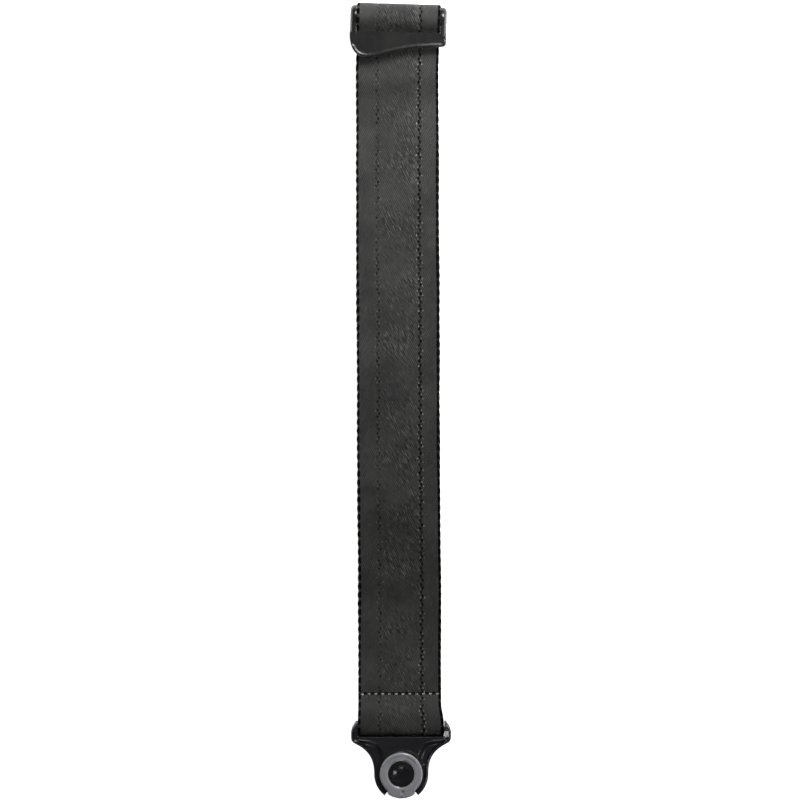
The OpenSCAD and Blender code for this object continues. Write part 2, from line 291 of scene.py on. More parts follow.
PITCH = WEB_T + LAYER_GAP
BOTTOM, MIDDLE, TOP, OVER = (WEB_T / 2 + k * PITCH for k in range(4))
LOOP_R = BAR_R + WRAP_GAP + WEB_T / 2
# The sewn loop at the front end piece: its slope, its length to the stitches, and the tail past them
TEAR_SLOPE = 10.0
TEAR_LEN = 21.5
TAIL = 10.5
REAR_SLOPE = 8.0
# Round the slider's bar: the outer turn of webbing, the sewn one inside it, and the sewn one's tail
ROLL_R = SLIDER_Z - WEB_T / 2
SEWN_R = ROLL_R - PITCH
SEWN_LEN = 14.0
SEWN_TAIL = 13.0
BEND = 2.5


def heading(a):
    """A step of one mm at a degrees."""
    return np.array([math.cos(math.radians(a)), math.sin(math.radians(a))])


def arc(c, r, a0, a1, n):
    return circle(r, a0, a1, n + 1, c, closed=False)


def route():
    """The webbing's centre line as [y, z], the length along it, and the front stitches' place.

    The last value is how far along the line the upper side of those stitches is.
    """
    fine, short = 28, 10
    front = np.array([BAR_Y, FRONT_BAR_Z])
    rear = np.array([BAR_Y, REAR_BAR_Z])
    bar = np.array([SLIDER_Y, SLIDER_Z])
    half = math.asin(LOOP_R / math.hypot(TEAR_LEN, PITCH / 2)) - math.atan(PITCH / 2 / TEAR_LEN)
    half = math.degrees(half)
    stitch = front + TEAR_LEN * heading(-TEAR_SLOPE)
    up = stitch + PITCH / 2 * heading(90 - TEAR_SLOPE)
    down = stitch - PITCH / 2 * heading(90 - TEAR_SLOPE)
    fall = up + 12 * heading(-TEAR_SLOPE)
    sewn = np.array([SLIDER_Y - SEWN_LEN, TOP])
    v = sewn - bar
    ramp = math.degrees(math.atan(-v[1] / SEWN_LEN) + math.asin(SEWN_R / np.linalg.norm(v)))
    over_y = SLIDER_Y - (ROLL_R - (OVER - SLIDER_Z) * heading(ramp)[0]) / heading(ramp)[1]
    over = np.array([over_y, OVER])
    under = REAR_BAR_Z - LOOP_R
    parts = [
        [down + TAIL * heading(-TEAR_SLOPE), down],
        arc(front, LOOP_R, 270 - TEAR_SLOPE + half, 90, 2 * fine),
        bezier([front + [1, LOOP_R], front + [9.5, LOOP_R], up + [-7.5, 4.2], up + [-0.8, 0.5]], fine),
        [up + [0.4, -0.1]],
        bezier([fall, fall + 16 * heading(-TEAR_SLOPE), [fall[0] + 34, TOP], [fall[0] + 52, TOP]], fine),
        bezier([[181, TOP], [186, TOP], [190, OVER], [196, OVER]], fine),
        bezier([over - [BEND, 0], over, over, over + BEND * heading(ramp)], short),
        arc(bar, ROLL_R, 90 + ramp, -90, 3 * fine),
        bezier([[BAR_Y + 20, BOTTOM], [BAR_Y + 13, BOTTOM], [BAR_Y + 7, under], [BAR_Y + 0.5, under]], fine),
        arc(rear, LOOP_R, 270, 90 - REAR_SLOPE, 2 * fine),
    ]
    middle = parts[-1][-1] + 14 * heading(-REAR_SLOPE)
    settle = middle + 14 * heading(-REAR_SLOPE)
    parts += [
        bezier([middle, settle, [middle[0] + 30, MIDDLE], [middle[0] + 46, MIDDLE]], fine),
        arc(bar, SEWN_R, -90, 90 + ramp, 3 * fine),
        bezier([sewn + 3 * heading(ramp), sewn, sewn, sewn - [BEND, 0]], short),
        [sewn - [SEWN_TAIL, 0]],
    ]
    line = np.concatenate([np.asarray(p, float) for p in parts])
    gap = np.linalg.norm(np.diff(line, axis=0), axis=1)
    line = line[np.concatenate([[True], gap > 1e-4])]
    s = np.concatenate([[0], np.cumsum(np.linalg.norm(np.diff(line, axis=0), axis=1))])
    upper = int(np.argmin(np.linalg.norm(line - up, axis=1)))
    return line, s, stitch, float(s[upper])


LINE, ALONG, STITCH, UPPER_ROW = route()
LENGTH = ALONG[-1]


# ---------------------------------------------------------------- materials

class Look:
    """A Principled material with small helpers for node arithmetic. Lengths in the nodes are in mm."""

    def __init__(self, name, **sockets):
        self.mat = bpy.data.materials.new(name)
        self.mat.use_nodes = True
        self.tree = self.mat.node_tree
        self.bsdf = self.tree.nodes["Principled BSDF"]
        for key, value in sockets.items():
            self.bsdf.inputs[key.replace("_", " ")].default_value = value

    def node(self, kind, inputs=None, **props):
        """A new node, with its properties and its inputs set or linked."""
        n = self.tree.nodes.new(kind)
        for k, v in props.items():
            setattr(n, k, v)
        for k, v in (inputs or {}).items():
            self.put(n.inputs[k], v)
        return n

    def put(self, socket, value):
        if isinstance(value, bpy.types.NodeSocket):
            self.tree.links.new(value, socket)
        else:
            socket.default_value = value

    def math(self, op, *args, clamp=False):
        n = self.node("ShaderNodeMath", operation=op, use_clamp=clamp)
        for i, a in enumerate(args):
            self.put(n.inputs[i], a)
        return n.outputs[0]

    def add(self, a, b):
        return self.math("ADD", a, b)

    def sub(self, a, b):
        return self.math("SUBTRACT", a, b)

    def mul(self, a, b):
        return self.math("MULTIPLY", a, b)

    def div(self, a, b):
        return self.math("DIVIDE", a, b)

    def most(self, a, b):
        return self.math("MAXIMUM", a, b)

    def size(self, a):
        return self.math("ABSOLUTE", a)

    def turn(self, kind, a):
        """SINE or COSINE of a whole turn for each 1 of a."""
        return self.math(kind, self.mul(a, 2 * math.pi))

    def ramp(self, value, lo, hi, out_lo=0.0, out_hi=1.0):
        """A soft step from out_lo to out_hi, as the value goes from lo to hi."""
        ends = {"From Min": lo, "From Max": hi, "To Min": out_lo, "To Max": out_hi}
        kind = "ShaderNodeMapRange"
        return self.node(kind, {"Value": value, **ends}, interpolation_type="SMOOTHSTEP").outputs["Result"]

    def vector(self, x, y, z=0.0):
        return self.node("ShaderNodeCombineXYZ", {"X": x, "Y": y, "Z": z}).outputs["Vector"]

    def place(self, stretch=(1, 1, 1)):
        """The place on the object in mm, drawn out along each axis as stretch says."""
        at = self.node("ShaderNodeTexCoord").outputs["Object"]
        m = self.node("ShaderNodeMapping", vector_type="POINT")
        self.put(m.inputs["Vector"], at)
        m.inputs["Scale"].default_value = tuple(1000 * s for s in stretch)
        return m.outputs["Vector"]

    def noise(self, where, scale, detail=2.0, rough=0.5):
        n = self.node("ShaderNodeTexNoise", {"Scale": scale, "Detail": detail, "Roughness": rough})
        self.put(n.inputs["Vector"], where)
        return n.outputs["Fac"]

    def colour(self, fac, dark, light, clamp=True):
        """The base colour, from dark to light as fac goes from 0 to 1, and past light without clamp."""
        n = self.node("ShaderNodeMix", data_type="RGBA", clamp_factor=clamp)
        self.put(n.inputs[0], fac)
        n.inputs[6].default_value = (*dark, 1)
        n.inputs[7].default_value = (*light, 1)
        self.put(self.bsdf.inputs["Base Color"], n.outputs[2])

    def rough(self, fac, lo, hi):
        self.put(self.bsdf.inputs["Roughness"], self.ramp(fac, 0.3, 0.7, lo, hi))

    def bump(self, height, depth_mm):
        n = self.node("ShaderNodeBump", {"Strength": 1.0, "Distance": depth_mm * MM, "Height": height})
        self.put(self.bsdf.inputs["Normal"], n.outputs["Normal"])


def plastic(name, dark, light, rough, grain_mm, grain_scale, wave_mm):
    """Moulded plastic: fine grain, faint flow marks, and patches a little more or less glossy."""
    m = Look(name)
    where = m.place()
    grain = m.noise(where, grain_scale, 3.0, 0.6)
    broad = m.noise(where, 0.09, 3.0, 0.55)
    m.colour(m.add(m.mul(grain, 0.35), m.mul(broad, 0.65)), dark, light)
    m.rough(broad, *rough)
    if wave_mm:
        m.bump(m.add(m.mul(grain, grain_mm), m.mul(m.noise(where, 0.12, 1.0), wave_mm)), 1.0)
    else:
        m.bump(grain, grain_mm)
    return m.mat


def metal(name, dark, light, rough, stretch, scale):
    """Drawn or brushed metal: fine lines along one axis and a few duller patches."""
    m = Look(name, Metallic=1.0)
    lines = m.noise(m.place(stretch), scale, 4.0, 0.65)
    patches = m.noise(m.place(), 0.35, 3.0, 0.6)
    m.colour(m.add(m.mul(lines, 0.6), m.mul(patches, 0.4)), dark, light)
    m.rough(m.add(m.mul(lines, 0.5), m.mul(patches, 0.5)), *rough)
    m.bump(lines, 0.012)
    return m.mat


# The webbing's pattern, in mm from its middle line: the two lines where the twill turns back, the width
# of a yarn, how far it floats, and the repeat of the selvedge and of the knots on the lines
LEFT_LINE = -12.0
RIGHT_LINE = 13.2
YARN = 0.3
FLOAT = 2.4
WEFT = 0.6
SELVEDGE = 5.2
KNOT = 2.4
STITCH_ROWS = (TAIL, UPPER_ROW)
STITCH_STEP = 4.1
WEB_DARK = (0.0015, 0.0015, 0.0016)
WEB_LIGHT = (0.039, 0.0386, 0.037)


def webbing_look():
    """Herringbone webbing: warp yarns side by side, each floating over and under the weft.

    Each yarn floats one step after its neighbour, and the step turns back at the two lines.
    """
    m = Look("webbing_grey", **{"IOR": 1.45, "Sheen_Weight": 0.06, "Sheen_Roughness": 0.4})
    uv = m.node("ShaderNodeUVMap", uv_map="weave").outputs["UV"]
    sep = m.node("ShaderNodeSeparateXYZ", {"Vector": uv})
    u = m.mul(sep.outputs["X"], 1000.0)
    v = m.mul(sep.outputs["Y"], 1000.0)
    flat = m.vector(u, v)
    from_left = m.size(m.sub(u, LEFT_LINE))
    from_right = m.size(m.sub(u, RIGHT_LINE))
    folded = m.sub(m.sub(m.add(from_left, LEFT_LINE + RIGHT_LINE), from_right), u)
    wander = m.mul(m.sub(m.noise(flat, 0.11, 2.0), 0.5), 0.9)

    # yarns
    yarn = m.div(folded, YARN)
    across = m.math("SINE", m.mul(m.math("FRACT", yarn), math.pi))
    along = m.add(m.add(m.div(v, FLOAT), m.mul(m.math("FLOOR", yarn), 0.25)), wander)
    warp = m.mul(m.math("POWER", across, 0.6), m.ramp(m.turn("COSINE", along), -0.75, 0.2))
    weft = m.mul(m.math("SINE", m.mul(m.math("FRACT", m.div(v, WEFT)), math.pi)), 0.38)
    height = m.most(warp, weft)

    def along_twill(fold_width, length, detail=2.0):
        """Noise drawn out along the twill's own slant."""
        slant = m.add(m.mul(folded, 2.0), v)
        where = m.vector(m.mul(slant, 1.0 / fold_width), m.mul(v, 1.0 / length))
        return m.noise(where, 1.0, detail, 0.55)

    def knots(line, width, reach, size):
        """Light floats and dark gaps that step from side to side along one of the lines."""
        row = m.add(m.div(v, KNOT), wander)
        k = m.math("FLOOR", row)
        step = m.mul(m.sub(m.math("PINGPONG", k, 1.0), 0.5), width)
        du = m.sub(m.sub(u, line), step)
        dv = m.mul(m.sub(m.math("FRACT", row), 0.5), KNOT)
        side = m.size(du)
        gap = m.add(m.div(side, size), m.div(m.size(dv), 1.75 * size))
        chance = m.node("ShaderNodeTexWhiteNoise", {"Vector": m.vector(k, m.math("SIGN", du), line)})
        slant = m.size(m.add(dv, m.mul(side, 0.7)))
        fleck = m.add(m.div(m.size(m.sub(side, reach)), 0.6), m.div(slant, 1.1))
        light = m.mul(m.ramp(fleck, 1.0, 0.3), m.ramp(chance.outputs["Value"], 0.25, 0.95))
        return light, m.ramp(gap, 1.1, 0.6)

    uneven = m.ramp(m.noise(flat, 0.16, 2.0, 0.6), 0.36, 0.62, 0.3, 1.0)
    light_r, dark_r = knots(RIGHT_LINE, 0.85, 1.25, 1.1)
    light_l, dark_l = knots(LEFT_LINE, 1.0, 1.2, 0.9)
    dark_l = m.mul(dark_l, m.ramp(m.noise(flat, 0.3, 2.0, 0.6), 0.36, 0.6, 0.15, 0.8))
    dark = m.most(m.mul(dark_r, m.ramp(uneven, 0.3, 1.0, 0.7, 1.0)), dark_l)
    light = m.mul(m.add(light_r, m.mul(light_l, 0.35)), uneven)

    # painted shade along the selvedges, deepest in dashes where the edge yarn wraps round
    dash = m.turn("COSINE", m.div(v, SELVEDGE))
    left_edge_shade = m.mul(m.ramp(u, -23.0, -23.6), m.ramp(dash, -0.85, -0.2, 0.25, 1.0))
    right_edge_shade = m.mul(m.ramp(u, 22.9, 23.5), m.ramp(dash, -1.0, -0.6, 0.6, 1.0))
    edge_shade = m.most(left_edge_shade, right_edge_shade)

    # painted shade in the needle's holes at the ends of the stitches
    beat = m.turn("COSINE", m.div(m.sub(u, STITCH_STEP / 2), STITCH_STEP))
    between = m.ramp(beat, 0.35, -0.25, 0.35, 1.0)
    lower, upper = (m.ramp(m.size(m.sub(v, at)), 0.7, 1.25, 1.0, 0.0) for at in STITCH_ROWS)
    dark = m.most(dark, m.mul(m.most(lower, upper), between))

    # painted sheen and glints: broad patches and streaks along the twill, lighter where the floats catch the
    # light, and painted glints on a few fibres, mostly between the lines
    inner = m.math("LESS_THAN", m.size(m.sub(u, (LEFT_LINE + RIGHT_LINE) / 2)), (RIGHT_LINE - LEFT_LINE) / 2)
    middle = m.mul(m.ramp(from_left, 0.5, 4.0), m.mul(m.ramp(from_right, 0.5, 3.0), inner))
    patch = m.noise(flat, 0.034, 3.0, 0.6)
    streak = along_twill(2.6, 5.0)
    fine = along_twill(1.4, 4.0, 1.0)
    lively = m.mul(middle, m.ramp(m.noise(flat, 0.045, 2.0, 0.6), 0.4, 0.62, 0.15, 1.0))
    contrast = m.add(0.8, m.mul(lively, 8.0))
    painted_sheen = m.ramp(patch, 0.32, 0.68, 0.66, 1.34)
    painted_sheen = m.mul(painted_sheen, m.ramp(streak, 0.3, 0.7, 0.84, 1.16))
    painted_sheen = m.mul(painted_sheen, m.most(m.add(1.0, m.mul(m.sub(fine, 0.5), contrast)), 0.15))
    # painted glints: a few bright specks on single fibres
    spots = m.node("ShaderNodeMapping", {"Vector": flat, "Scale": (1.5, 0.7, 1.0)}).outputs["Vector"]
    painted_glint = m.mul(m.ramp(m.noise(spots, 1.0, 1.0), 0.62, 0.74), m.ramp(fine, 0.5, 0.64))
    painted_glint = m.mul(painted_glint, m.ramp(lively, 0.0, 1.0, 0.12, 1.0))

    # the yarns' tone, times the painted sheen
    tone = m.mul(m.add(m.mul(height, 0.75), 0.32), painted_sheen)
    tone = m.mul(tone, m.ramp(dark, 0.0, 1.0, 1.0, 0.1))
    tone = m.add(tone, m.mul(light, 7.0))
    # painted glints added to the tone
    tone = m.add(tone, m.mul(painted_glint, 4.5))
    # painted shade: the selvedges darkened almost to black
    tone = m.mul(tone, m.ramp(edge_shade, 0.0, 1.0, 1.0, 0.06))
    m.colour(tone, WEB_DARK, WEB_LIGHT, clamp=False)
    gloss = m.add(fine, m.mul(light, -0.5))
    m.put(m.bsdf.inputs["Roughness"], m.ramp(gloss, 0.1, 0.8, 0.46, 0.72))
    dull = m.most(edge_shade, m.mul(dark, 0.8))
    m.put(m.bsdf.inputs["Specular IOR Level"], m.ramp(dull, 0.0, 1.0, 0.36, 0.0))
    m.bump(m.sub(m.add(height, m.mul(light, 0.5)), m.mul(dark, 0.8)), 0.17)
    return m.mat


def thread_look():
    """Twisted thread with fine fibres along it."""
    m = Look("thread_grey", **{"IOR": 1.5, "Sheen_Weight": 0.2})
    fibre = m.noise(m.place((6, 1.5, 6)), 1.0, 3.0, 0.6)
    m.colour(fibre, (0.22, 0.22, 0.21), (0.62, 0.62, 0.6))
    m.rough(m.noise(m.place(), 1.2, 2.0), 0.28, 0.5)
    m.bump(fibre, 0.04)
    return m.mat


# Dark and light colour, range of roughness, then depth and scale of the grain and depth of the waves
PLASTICS = {
    "slider_black": ((0.010, 0.010, 0.0098), (0.014, 0.014, 0.0136), (0.25, 0.31), 0.012, 3.0, 0.1),
    "shell_black": ((0.014, 0.014, 0.0162), (0.021, 0.021, 0.024), (0.2, 0.27), 0.008, 3.4, 0.08),
    "back_black": ((0.012, 0.012, 0.013), (0.026, 0.026, 0.028), (0.45, 0.65), 0.05, 2.2, 0.15),
    "ring_grey": ((0.28, 0.28, 0.305), (0.37, 0.37, 0.395), (0.14, 0.22), 0.01, 3.2, 0.1),
    "cap_black": ((0.008, 0.008, 0.0085), (0.018, 0.018, 0.019), (0.18, 0.3), 0.008, 3.0, 0.12),
    "cam_white": ((0.62, 0.61, 0.56), (0.8, 0.79, 0.74), (0.38, 0.52), 0.02, 2.4, 0.0),
}
# Dark and light colour, range of roughness, stretch of the brushed lines and their scale
METALS = {
    "bar_steel": ((0.34, 0.34, 0.35), (0.62, 0.62, 0.64), (0.22, 0.42), (0.08, 3.0, 3.0), 1.0),
    "jaw_steel": ((0.3, 0.31, 0.33), (0.58, 0.59, 0.61), (0.26, 0.46), (0.1, 3.0, 3.0), 1.0),
    "spring_steel": ((0.4, 0.38, 0.33), (0.7, 0.67, 0.58), (0.15, 0.3), (2.0, 2.0, 2.0), 1.0),
    "screw_steel": ((0.4, 0.4, 0.42), (0.68, 0.68, 0.7), (0.2, 0.36), (1.5, 1.5, 0.4), 1.4),
}
MATS = {"webbing_grey": webbing_look(), "thread_grey": thread_look()}
MATS.update((name, plastic(name, *row)) for name, row in PLASTICS.items())
MATS.update((name, metal(name, *row)) for name, row in METALS.items())
MATS["cam_white"].node_tree.nodes["Principled BSDF"].inputs["Subsurface Weight"].default_value = 0.15


# ---------------------------------------------------------------- stage, light and camera

def stage():
    """A white floor just under the strap, bright enough to have no edge in the picture."""
    glow = {"Emission_Color": (1, 1, 1, 1), "Emission_Strength": 1.0}
    floor_mat = Look("floor_white", Specular_IOR_Level=0.1, **glow)
    spots = floor_mat.noise(floor_mat.place(), 0.01, 2.0)
    floor_mat.colour(spots, (0.84, 0.84, 0.84), (0.86, 0.86, 0.86))
    floor_mat.rough(spots, 0.85, 0.95)
    half, under = 8.0, -0.0002
    corners = [(-half, -half), (half, -half), (half, half), (-half, half)]
    me = bpy.data.meshes.new("floor")
    me.from_pydata([(x, y, under) for x, y in corners], [], [(0, 1, 2, 3)])
    floor = bpy.data.objects.new("floor", me)
    bpy.context.scene.collection.objects.link(floor)
    me.materials.append(floor_mat.mat)


def area_light(name, at, aim, size, power, spread):
    """A rectangular lamp in metres and watts, whose light goes out over spread degrees."""
    data = bpy.data.lights.new(name, "AREA")
    data.shape = "RECTANGLE"
    data.size, data.size_y = size
    data.energy = power
    data.spread = math.radians(spread)
    ob = bpy.data.objects.new(name, data)
    bpy.context.scene.collection.objects.link(ob)
    ob.location = at
    ob.rotation_euler = (Vector(aim) - Vector(at)).to_track_quat("-Z", "Y").to_euler()
    ob.visible_camera = False


stage()
scene = bpy.context.scene
scene.view_settings.view_transform = "Standard"
world = bpy.data.worlds.new("studio")
scene.world = world
world.use_nodes = True
world.node_tree.nodes["Background"].inputs["Color"].default_value = (1, 1, 1, 1)
world.node_tree.nodes["Background"].inputs["Strength"].default_value = 0.05
# A key light from beyond the slider and a low panel on each side, which fades towards the end pieces
area_light("key", (0.2, 0.5, 0.45), (0.0, 0.16, 0.0), (0.3, 0.22), 0.8, 62)
area_light("right_panel", (0.5, 0.25, 0.075), (0.0, 0.25, 0.0), (0.5, 0.11), 2.9, 180)
area_light("left_panel", (-0.5, 0.2, 0.075), (0.0, 0.2, 0.0), (0.6, 0.11), 1.1, 180)
# Small lights for the right ear, the ring and cap, the webbing's fold, and the end piece's lower edges
area_light("ear_light", (0.36, -0.3, 0.5), (0.028, -0.188, 0.01), (0.13, 0.13), 0.006, 8)
area_light("kick", (0.09, 0.03, 0.2), (0.0, -0.234, 0.0), (0.34, 0.05), 0.011, 18)
area_light("fold_light", (0.0, -0.38, 0.2), (0.0, -0.205, 0.011), (0.08, 0.03), 0.0022, 20)
area_light("low_front", (-0.1, -0.7, 0.15), (0.0, -0.2, 0.0), (0.4, 0.1), 0.08, 180)

# The camera looks straight down, from so far off that it shows hardly any perspective. Its picture is
# VIEW_W wide at the strap's middle height, and is turned by a hair.
DISTANCE = 6.0
MID_HEIGHT = 0.006
VIEW_W = 0.4816
SENSOR = 36
camera = bpy.data.objects.new("camera", bpy.data.cameras.new("camera"))
scene.collection.objects.link(camera)
camera.data.sensor_width = SENSOR
camera.data.lens = SENSOR * (DISTANCE - MID_HEIGHT) / VIEW_W
camera.data.clip_end = 50
camera.location = (0.00021, 0.00045, DISTANCE)
camera.rotation_euler = (0, 0, math.radians(-0.239))
scene.camera = camera


# ---------------------------------------------------------------- webbing

def placed(x, y, z):
    """Points given about the webbing's middle line, turned with the slider past TURN_Y."""
    a = -TURN * smooth((y - TURN_Y + 1.0) / 2.0)
    w = y - TURN_Y
    return np.stack([x * np.cos(a) - w * np.sin(a) - OFFSET, x * np.sin(a) + w * np.cos(a) + TURN_Y, z], -1)


def lift(x, y):
    """Slow upward waves that every run of the webbing shares."""
    fade = smooth((y + 165) / 40) * smooth((168 - y) / 40)
    waves = np.sin(y / 27.0 + x / 60.0)
    waves = waves + 0.8 * np.sin(y / 9.7 + x / 11.0 + 1.0) * np.cos(x / 17.0)
    waves = waves + 0.7 * np.sin(y / 6.1 - x / 8.0 + 2.0) * np.cos(y / 31.0)
    return fade * (0.4 + 0.15 * waves)


def webbing():
    """The strap as one closed strip along its route, thinner at its lines, stitches and edges."""
    step = 1.16
    n = int(LENGTH / step)
    s = np.linspace(0, LENGTH, n)
    y, z = np.interp(s, ALONG, LINE[:, 0]), np.interp(s, ALONG, LINE[:, 1])
    eps = 0.35
    ty = np.interp(s + eps, ALONG, LINE[:, 0]) - np.interp(s - eps, ALONG, LINE[:, 0])
    tz = np.interp(s + eps, ALONG, LINE[:, 1]) - np.interp(s - eps, ALONG, LINE[:, 1])
    k = np.hypot(ty, tz)
    ny, nz = -tz / k, ty / k

    # the section's points across the width, closer at the edges and at the two lines
    rim = [24.8, 24.45, 23.9, 23.2, 22, 20]
    by_right_line = [17.6, 15.6, 14.4, 13.7, 13.2, 12.7, 12.0, 11.0]
    between = [9, 6.5, 4, 1.5, -1.5, -4, -6.5, -9]
    by_left_line = [-10.8, -11.5, -12.0, -12.5, -13.2, -15, -17.5]
    cols = np.array(rim + by_right_line + between + by_left_line + [-q for q in reversed(rim)])
    m = len(cols)
    wide = WEB_W / 2
    u = np.concatenate([[wide], cols, [-wide], cols[::-1]])
    side = np.concatenate([[0.0], np.ones(m), [0.0], -np.ones(m)])
    edge = np.abs(u)
    round_r = 0.9
    past = np.clip(edge - (wide - round_r), 0, None) / round_r
    half = (WEB_T / 2) * np.sqrt(np.clip(1 - past**2, 0, 1))
    groove = 0.13 * np.exp(-(((u - RIGHT_LINE) / 0.55) ** 2))
    groove = groove + 0.1 * np.exp(-(((u - LEFT_LINE) / 0.45) ** 2))
    half = np.where(side == 0, 0, half - groove)

    # the two rows of stitches pull the cloth in
    pull = np.zeros(n)
    for at in STITCH_ROWS:
        pull += np.exp(-(((s - at) / 0.9) ** 2))

    # scalloped edges, fading where the webbing is held
    at_ears = smooth((BAR_Y + 16 - y) / 12)
    at_roll = smooth((y - SLIDER_Y + 16) / 8)
    held = np.maximum(at_roll, smooth((BAR_Y + 8 - y) / 6))
    scallop = (0.5 - 0.5 * np.cos(2 * math.pi * s / SELVEDGE)) * (1 - 0.9 * held)
    depth = np.where(u < 0, 0.42, 0.22) * np.where(edge > 24.0, 1, 0) * smooth((edge - 23.2) / 1.8)

    # the strap wanders a little from side to side, and spreads to fill the ears and the slider
    wob = 0.22 * np.sin(s / 61.0) + 0.16 * np.sin(s / 23.7 + 2.0) + 0.1 * np.sin(s / 9.1)
    wob *= smooth((y + 165) / 40) * smooth((185 - y) / 40)
    spread = np.where(u > 0, 1.5 * u / wide, 0.34 * u / wide)
    x = u[None, :] + wob[:, None]
    x = x - (np.sign(u) * depth)[None, :] * scallop[:, None]
    x = x + at_ears[:, None] * spread[None, :]
    x = x + at_roll[:, None] * (0.25 * u / wide)[None, :]

    h = (side * half)[None, :] - np.where(side > 0, 0.22, 0.0)[None, :] * pull[:, None]
    yy = y[:, None] + ny[:, None] * h
    zz = z[:, None] + nz[:, None] * h + lift(x, yy)
    verts = placed(x, yy, zz).reshape(-1, 3)
    w = len(u)
    faces = []
    for i in range(n - 1):
        a = i * w
        faces += [(a + j, a + (j + 1) % w, a + w + (j + 1) % w, a + w + j) for j in range(w)]
    faces.append(tuple(reversed(range(w))))
    faces.append(tuple((n - 1) * w + j for j in range(w)))
    uv = np.stack([np.broadcast_to(u, (n, w)), np.broadcast_to(s[:, None], (n, w))], -1).reshape(-1, 2) * MM
    ob = piece("webbing_strap", verts, faces, "webbing", "webbing_grey", ("webbing",), sharp=0, uv=uv)


def stitch_row(count, place):
    """Two-ply stitches through two runs of webbing.

    place turns points (x, along, up) about the middle of the pair of runs into the scene's mm.
    """
    parts = []
    long = 1.7
    reach = PITCH / 2 + WEB_T / 2
    for i in range(count):
        cx = (i - (count - 1) / 2) * STITCH_STEP
        for s in (-1, 1):
            t = np.linspace(-1, 1, 25)
            x = cx + t * (long / 2) + RNG.normal(0, 0.05)
            rise = reach - 0.42 + 0.5 * (1 - np.abs(t) ** 3.5)
            off = RNG.normal(0, 0.08) + 0.06 * t
            for ply in (0, math.pi):
                ang = ply + t * 5.4 + i
                path = np.stack([x, off + 0.19 * np.cos(ang), s * (rise + 0.16 * np.sin(ang))], 1)
                parts.append(tube(place(path), 0.24 * (1 - 0.25 * np.abs(t) ** 6)))
        for s in (-1, 1):
            zs = np.linspace(-reach + 0.4, reach - 0.4, 5)
            path = np.stack([np.full(5, cx + s * (long / 2)), np.zeros(5), zs], 1)
            parts.append(tube(place(path), 0.3))
    return together(parts)


def front_row(p):
    """Stitches across the sewn loop at the front end piece, square to its slope."""
    a = math.radians(-TEAR_SLOPE)
    y = STITCH[0] + p[:, 1] * math.cos(a) - p[:, 2] * math.sin(a)
    z = STITCH[1] + p[:, 1] * math.sin(a) + p[:, 2] * math.cos(a)
    return np.stack([p[:, 0] - OFFSET, y, z], 1)


def slider_row(p):
    """Stitches through the sewn end at the slider."""
    return placed(p[:, 0], SLIDER_Y - SEWN_LEN - 6 + p[:, 1], (MIDDLE + TOP) / 2 + p[:, 2])


webbing()
piece("front_stitches", *stitch_row(12, front_row), "webbing", "thread_grey", ("front_end_stitching",))
piece("slider_stitches", *stitch_row(12, slider_row), "webbing", "thread_grey", ("slider_stitching",))


# ---------------------------------------------------------------- slider

def fillet(d, r):
    """How far a rounded edge of radius r falls at distance d from the outline."""
    t = np.clip(r - d, 0, r)
    return r - np.sqrt(np.maximum(r * r - t * t, 0))


# In mm about the middle of the slider's bar: half its width, the slot's edge, the wave's two ends, and
# the plate's underside and thickness
SLIDER_HALF = 29.2
SLOT_DROP = 9.1
WAVE_LEFT = (-18.5, -24.7)
WAVE_RIGHT = (25.9, -17.5)
PLATE_LOW = 4.1
PLATE_T = 2.3
CHEEK_R = 6.8
CHEEK_INNER = 25.3
CHEEK_INSET = 0.15


def plate():
    """The face plate, with a raised rim along its wave edge and a plain edge at the slot."""
    half = SLIDER_HALF
    left = bezier([[-half, -12.6], [-28.4, -21.1], [-24.5, WAVE_LEFT[1]], WAVE_LEFT], 20)
    wave = bezier([WAVE_LEFT, [-9, WAVE_LEFT[1]], [0, WAVE_RIGHT[1]], WAVE_RIGHT], 44)
    tip = bezier([WAVE_RIGHT, [28, -17.4], [half, -16.6], [half, -14.6]], 12)
    outline = np.concatenate([[[-half, -SLOT_DROP]], left, wave[1:], tip[1:], [[half, -SLOT_DROP]]])
    outline = dense(rounded(outline, 0.9), 0.7)
    edge = dense(np.concatenate([left[6:], wave[1:], tip[1:]]), 0.5, closed=False)

    def top(p, d):
        e = distance(p, edge, closed=False)
        rim_h, bow_h = 0.34, 0.12
        rim = rim_h * smooth((2.0 - e) / 0.7)
        slot = smooth((p[:, 1] + SLOT_DROP + 1.5) / 0.8) * smooth((27.5 - np.abs(p[:, 0])) / 1.0)
        round_r = 0.85 + 0.9 * smooth((p[:, 0] - 22) / 4)
        body = PLATE_T - rim_h + rim - fillet(d, round_r) * (1 - slot)
        bow = bow_h * (1 - (p[:, 0] / half) ** 2)
        return PLATE_LOW + body - bow_h + bow

    def bottom(_, d):
        return PLATE_LOW + fillet(d, 0.6)

    lines = [inset(outline, k) for k in (0.05, 0.16, 0.32, 0.55, 0.85, 1.25, 1.45, 1.7, 2.0)]
    return field(outline, [], lines, top, bottom, 0.9)


def cheek():
    """The right cheek. It is drawn as [y, z] about the bar, with its thickness along X."""
    top_z = PLATE_LOW + PLATE_T - 0.3
    end = circle(CHEEK_R, -110, 86, 70, closed=False)
    back = [[-1.4, 6.6], [-4.0, top_z], [-11.6, top_z], [-12.4, top_z - 0.8], [-12.1, 2]]
    outline = dense(rounded(np.concatenate([[[-11, 0.2]], end, back]), 0.8), 0.6)

    def outer(_, d):
        return SLIDER_HALF - CHEEK_INSET - fillet(d, 2.7)

    def inner(_, d):
        return CHEEK_INNER + fillet(d, 0.15)

    lines = [inset(outline, k) for k in (0.06, 0.2, 0.45, 0.8, 1.2, 1.7, 2.2, 2.7)]
    v, f = field(outline, [], lines, outer, inner, 0.8)
    return np.stack([v[:, 2], v[:, 0], v[:, 1]], 1), f


